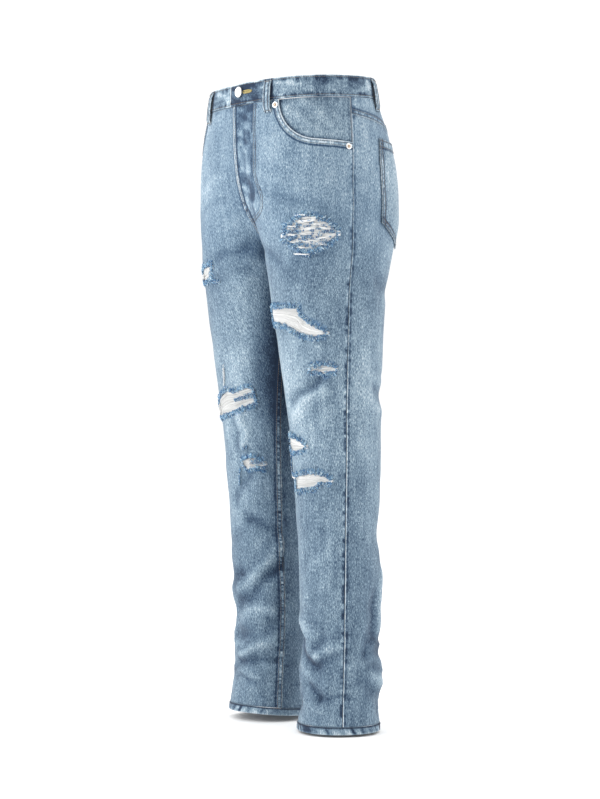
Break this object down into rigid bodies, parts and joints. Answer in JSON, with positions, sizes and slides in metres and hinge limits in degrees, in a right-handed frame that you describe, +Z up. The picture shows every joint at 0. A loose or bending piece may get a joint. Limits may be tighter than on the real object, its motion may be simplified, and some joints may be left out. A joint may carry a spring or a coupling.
{
  "type": "ripped straight-leg jeans",
  "caption": "Filled-out light-wash denim jeans with frayed rips over the thighs, knees and shins, five belt loops, scoop pockets, patch pockets and a buttoned waistband",
  "frame": {"origin": "centre of the waist opening, level with the middle of the waistband", "axes": "+Z up towards the waist, -Y to the front, +X to the wearer's left"},
  "size_m": [0.3596, 0.2488, 1.0351],
  "materials": {
    "denim": "light stone-washed indigo twill, faded on the thighs and seams",
    "white_yarn": "undyed cotton weft, frayed",
    "hardware": "dull pale nickel, softly worn"
  },
  "bodies": {
    "root": {"front_left": "denim", "back_left": "denim", "yoke_left": "denim", "facing_left": "denim", "pocket_left": "denim", "hem_left": "denim", "loop_front_left": "denim", "loop_back_left": "denim", "rivet_left_top": "hardware", "rivet_left_side": "hardware", "front_right": "denim", "back_right": "denim", "yoke_right": "denim", "facing_right": "denim", "pocket_right": "denim", "hem_right": "denim", "loop_front_right": "denim", "loop_back_right": "denim", "rivet_right_top": "hardware", "rivet_right_side": "hardware", "loop_centre": "denim", "waistband": "denim", "waist_button": "hardware", "rip_thigh_left": "white_yarn", "rip_above_knee_left": "white_yarn", "rip_knee_left": "white_yarn", "rip_shin_left": "white_yarn", "rip_calf_left": "white_yarn", "rip_thigh_right": "white_yarn", "rip_knee_right": "white_yarn", "rip_shin_right": "white_yarn"}
  },
  "joints": []
}
